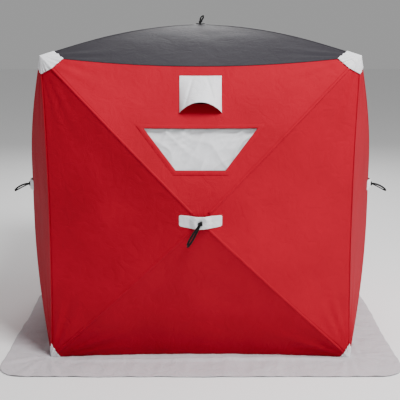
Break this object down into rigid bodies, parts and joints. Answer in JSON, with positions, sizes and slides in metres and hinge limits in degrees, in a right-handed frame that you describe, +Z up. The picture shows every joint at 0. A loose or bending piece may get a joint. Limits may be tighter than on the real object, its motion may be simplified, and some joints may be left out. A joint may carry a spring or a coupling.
{
  "type": "ice fishing shelter",
  "caption": "Cube-shaped pop-up ice fishing shelter: fabric skin over hub-and-pole walls and roof, with a snow skirt, window, vent hood and a door.",
  "frame": {"origin": "on the ground, under the centre of the shelter", "axes": "+Z up, -Y towards the wall with the window, +X to the right seen from that side"},
  "size_m": [2.513, 2.36, 2.033],
  "materials": {
    "red_skin": "woven oxford polyester, coated",
    "roof_skin": "woven oxford polyester, coated",
    "grey_fabric": "silver-coated oxford polyester",
    "skirt_fabric": "silver-coated oxford polyester",
    "window_clear": "clear flexible vinyl",
    "pole_fibreglass": "pultruded fibreglass",
    "hub_plastic": "moulded nylon",
    "strap_webbing": "woven webbing"
  },
  "bodies": {
    "root": {"wall_front_top": "red_skin", "wall_front_right": "red_skin", "wall_front_bottom": "red_skin", "wall_front_left": "red_skin", "wall_right_top": "red_skin", "wall_right_right": "red_skin", "wall_right_bottom": "red_skin", "wall_right_left": "red_skin", "wall_back_top": "red_skin", "wall_back_right": "red_skin", "wall_back_bottom": "red_skin", "wall_back_left": "red_skin", "wall_left_top": "red_skin", "wall_left_right": "red_skin", "wall_left_bottom": "red_skin", "wall_left_left": "red_skin", "roof_back": "roof_skin", "roof_right": "roof_skin", "roof_front": "roof_skin", "roof_left": "roof_skin", "window_pane": "window_clear", "window_cover": "grey_fabric", "vent_hood": "grey_fabric", "corner_patches_top": "grey_fabric", "corner_patches_base": "grey_fabric", "snow_skirt_front": "skirt_fabric", "snow_skirt_right": "skirt_fabric", "snow_skirt_back": "skirt_fabric", "snow_skirt_left": "skirt_fabric"},
    "door": {"door": "red_skin"},
    "hub_front": {"hub_front": "hub_plastic", "pull_strap_front": "strap_webbing"},
    "pole_front_top_right": {"pole_front_top_right": "pole_fibreglass"},
    "pole_front_top_left": {"pole_front_top_left": "pole_fibreglass"},
    "pole_front_bottom_left": {"pole_front_bottom_left": "pole_fibreglass"},
    "pole_front_bottom_right": {"pole_front_bottom_right": "pole_fibreglass"},
    "hub_right": {"hub_right": "hub_plastic", "pull_strap_right": "strap_webbing"},
    "pole_right_top_right": {"pole_right_top_right": "pole_fibreglass"},
    "pole_right_top_left": {"pole_right_top_left": "pole_fibreglass"},
    "pole_right_bottom_left": {"pole_right_bottom_left": "pole_fibreglass"},
    "pole_right_bottom_right": {"pole_right_bottom_right": "pole_fibreglass"},
    "hub_back": {"hub_back": "hub_plastic", "pull_strap_back": "strap_webbing"},
    "pole_back_top_right": {"pole_back_top_right": "pole_fibreglass"},
    "pole_back_top_left": {"pole_back_top_left": "pole_fibreglass"},
    "pole_back_bottom_left": {"pole_back_bottom_left": "pole_fibreglass"},
    "pole_back_bottom_right": {"pole_back_bottom_right": "pole_fibreglass"},
    "hub_left": {"hub_left": "hub_plastic", "pull_strap_left": "strap_webbing"},
    "pole_left_top_right": {"pole_left_top_right": "pole_fibreglass"},
    "pole_left_top_left": {"pole_left_top_left": "pole_fibreglass"},
    "pole_left_bottom_left": {"pole_left_bottom_left": "pole_fibreglass"},
    "pole_left_bottom_right": {"pole_left_bottom_right": "pole_fibreglass"},
    "hub_roof": {"hub_roof": "hub_plastic", "pull_strap_roof": "strap_webbing"},
    "pole_roof_back_right": {"pole_roof_back_right": "pole_fibreglass"},
    "pole_roof_back_left": {"pole_roof_back_left": "pole_fibreglass"},
    "pole_roof_front_left": {"pole_roof_front_left": "pole_fibreglass"},
    "pole_roof_front_right": {"pole_roof_front_right": "pole_fibreglass"}
  },
  "joints": [
    {"name": "hub_front_pop", "type": "slide", "parent": "root", "child": "hub_front", "axis": [0, 1, 0], "range_m": [0, 0.47], "deforming": ["wall_front_top", "wall_front_right", "wall_front_bottom", "wall_front_left", "window_pane", "window_cover", "vent_hood"]},
    {"name": "pole_front_top_right_pivot", "type": "hinge", "parent": "hub_front", "child": "pole_front_top_right", "pos_m": [0.02404, -1.113, 0.92804], "axis": [0.7071, 0, -0.7071], "range_deg": [0, 22.07]},
    {"name": "pole_front_top_left_pivot", "type": "hinge", "parent": "hub_front", "child": "pole_front_top_left", "pos_m": [-0.02404, -1.113, 0.92804], "axis": [0.7071, 0, 0.7071], "range_deg": [0, 22.07]},
    {"name": "pole_front_bottom_left_pivot", "type": "hinge", "parent": "hub_front", "child": "pole_front_bottom_left", "pos_m": [-0.02404, -1.113, 0.87996], "axis": [-0.7071, 0, 0.7071], "range_deg": [0, 22.07]},
    {"name": "pole_front_bottom_right_pivot", "type": "hinge", "parent": "hub_front", "child": "pole_front_bottom_right", "pos_m": [0.02404, -1.113, 0.87996], "axis": [-0.7071, 0, -0.7071], "range_deg": [0, 22.07]},
    {"name": "hub_right_pop", "type": "slide", "parent": "root", "child": "hub_right", "axis": [-1, 0, 0], "range_m": [0, 0.47], "deforming": ["wall_right_top", "wall_right_right", "wall_right_bottom", "wall_right_left"]},
    {"name": "pole_right_top_right_pivot", "type": "hinge", "parent": "hub_right", "child": "pole_right_top_right", "pos_m": [1.113, 0.02404, 0.92804], "axis": [0, 0.7071, -0.7071], "range_deg": [0, 22.07]},
    {"name": "pole_right_top_left_pivot", "type": "hinge", "parent": "hub_right", "child": "pole_right_top_left", "pos_m": [1.113, -0.02404, 0.92804], "axis": [0, 0.7071, 0.7071], "range_deg": [0, 22.07]},
    {"name": "pole_right_bottom_left_pivot", "type": "hinge", "parent": "hub_right", "child": "pole_right_bottom_left", "pos_m": [1.113, -0.02404, 0.87996], "axis": [0, -0.7071, 0.7071], "range_deg": [0, 22.07]},
    {"name": "pole_right_bottom_right_pivot", "type": "hinge", "parent": "hub_right", "child": "pole_right_bottom_right", "pos_m": [1.113, 0.02404, 0.87996], "axis": [0, -0.7071, -0.7071], "range_deg": [0, 22.07]},
    {"name": "hub_back_pop", "type": "slide", "parent": "root", "child": "hub_back", "axis": [0, -1, 0], "range_m": [0, 0.47], "deforming": ["wall_back_top", "wall_back_right", "wall_back_bottom", "wall_back_left"]},
    {"name": "pole_back_top_right_pivot", "type": "hinge", "parent": "hub_back", "child": "pole_back_top_right", "pos_m": [-0.02404, 1.113, 0.92804], "axis": [-0.7071, 0, -0.7071], "range_deg": [0, 22.07]},
    {"name": "pole_back_top_left_pivot", "type": "hinge", "parent": "hub_back", "child": "pole_back_top_left", "pos_m": [0.02404, 1.113, 0.92804], "axis": [-0.7071, 0, 0.7071], "range_deg": [0, 22.07]},
    {"name": "pole_back_bottom_left_pivot", "type": "hinge", "parent": "hub_back", "child": "pole_back_bottom_left", "pos_m": [0.02404, 1.113, 0.87996], "axis": [0.7071, 0, 0.7071], "range_deg": [0, 22.07]},
    {"name": "pole_back_bottom_right_pivot", "type": "hinge", "parent": "hub_back", "child": "pole_back_bottom_right", "pos_m": [-0.02404, 1.113, 0.87996], "axis": [0.7071, 0, -0.7071], "range_deg": [0, 22.07]},
    {"name": "hub_left_pop", "type": "slide", "parent": "root", "child": "hub_left", "axis": [1, 0, 0], "range_m": [0, 0.47], "deforming": ["wall_left_top", "wall_left_right", "wall_left_bottom", "wall_left_left"]},
    {"name": "pole_left_top_right_pivot", "type": "hinge", "parent": "hub_left", "child": "pole_left_top_right", "pos_m": [-1.113, -0.02404, 0.92804], "axis": [0, -0.7071, -0.7071], "range_deg": [0, 22.07]},
    {"name": "pole_left_top_left_pivot", "type": "hinge", "parent": "hub_left", "child": "pole_left_top_left", "pos_m": [-1.113, 0.02404, 0.92804], "axis": [0, -0.7071, 0.7071], "range_deg": [0, 22.07]},
    {"name": "pole_left_bottom_left_pivot", "type": "hinge", "parent": "hub_left", "child": "pole_left_bottom_left", "pos_m": [-1.113, 0.02404, 0.87996], "axis": [0, 0.7071, 0.7071], "range_deg": [0, 22.07]},
    {"name": "pole_left_bottom_right_pivot", "type": "hinge", "parent": "hub_left", "child": "pole_left_bottom_right", "pos_m": [-1.113, -0.02404, 0.87996], "axis": [0, 0.7071, -0.7071], "range_deg": [0, 22.07]},
    {"name": "hub_roof_pop", "type": "slide", "parent": "root", "child": "hub_roof", "axis": [0, 0, -1], "range_m": [0, 0.31], "deforming": ["roof_back", "roof_right", "roof_front", "roof_left"]},
    {"name": "pole_roof_back_right_pivot", "type": "hinge", "parent": "hub_roof", "child": "pole_roof_back_right", "pos_m": [0.02404, 0.02404, 1.937], "axis": [0.7071, -0.7071, 0], "range_deg": [0, 14.68]},
    {"name": "pole_roof_back_left_pivot", "type": "hinge", "parent": "hub_roof", "child": "pole_roof_back_left", "pos_m": [-0.02404, 0.02404, 1.937], "axis": [0.7071, 0.7071, 0], "range_deg": [0, 14.68]},
    {"name": "pole_roof_front_left_pivot", "type": "hinge", "parent": "hub_roof", "child": "pole_roof_front_left", "pos_m": [-0.02404, -0.02404, 1.937], "axis": [-0.7071, 0.7071, 0], "range_deg": [0, 14.68]},
    {"name": "pole_roof_front_right_pivot", "type": "hinge", "parent": "hub_roof", "child": "pole_roof_front_right", "pos_m": [0.02404, -0.02404, 1.937], "axis": [-0.7071, -0.7071, 0], "range_deg": [0, 14.68]},
    {"name": "door_swing", "type": "hinge", "parent": "root", "child": "door", "pos_m": [0.82511, 0.9208, 0.22706], "axis": [0, 0, -1], "range_deg": [0, 120]}
  ],
  "couplings": [
    {"joint": "pole_front_top_right_pivot", "follows": "hub_front_pop", "rad_per_m": 0.81781},
    {"joint": "pole_front_top_left_pivot", "follows": "hub_front_pop", "rad_per_m": 0.81781},
    {"joint": "pole_front_bottom_left_pivot", "follows": "hub_front_pop", "rad_per_m": 0.81781},
    {"joint": "pole_front_bottom_right_pivot", "follows": "hub_front_pop", "rad_per_m": 0.81781},
    {"joint": "pole_right_top_right_pivot", "follows": "hub_right_pop", "rad_per_m": 0.81781},
    {"joint": "pole_right_top_left_pivot", "follows": "hub_right_pop", "rad_per_m": 0.81781},
    {"joint": "pole_right_bottom_left_pivot", "follows": "hub_right_pop", "rad_per_m": 0.81781},
    {"joint": "pole_right_bottom_right_pivot", "follows": "hub_right_pop", "rad_per_m": 0.81781},
    {"joint": "pole_back_top_right_pivot", "follows": "hub_back_pop", "rad_per_m": 0.81781},
    {"joint": "pole_back_top_left_pivot", "follows": "hub_back_pop", "rad_per_m": 0.81781},
    {"joint": "pole_back_bottom_left_pivot", "follows": "hub_back_pop", "rad_per_m": 0.81781},
    {"joint": "pole_back_bottom_right_pivot", "follows": "hub_back_pop", "rad_per_m": 0.81781},
    {"joint": "pole_left_top_right_pivot", "follows": "hub_left_pop", "rad_per_m": 0.81781},
    {"joint": "pole_left_top_left_pivot", "follows": "hub_left_pop", "rad_per_m": 0.81781},
    {"joint": "pole_left_bottom_left_pivot", "follows": "hub_left_pop", "rad_per_m": 0.81781},
    {"joint": "pole_left_bottom_right_pivot", "follows": "hub_left_pop", "rad_per_m": 0.81781},
    {"joint": "pole_roof_back_right_pivot", "follows": "hub_roof_pop", "rad_per_m": 0.82353},
    {"joint": "pole_roof_back_left_pivot", "follows": "hub_roof_pop", "rad_per_m": 0.82353},
    {"joint": "pole_roof_front_left_pivot", "follows": "hub_roof_pop", "rad_per_m": 0.82353},
    {"joint": "pole_roof_front_right_pivot", "follows": "hub_roof_pop", "rad_per_m": 0.82353}
  ]
}
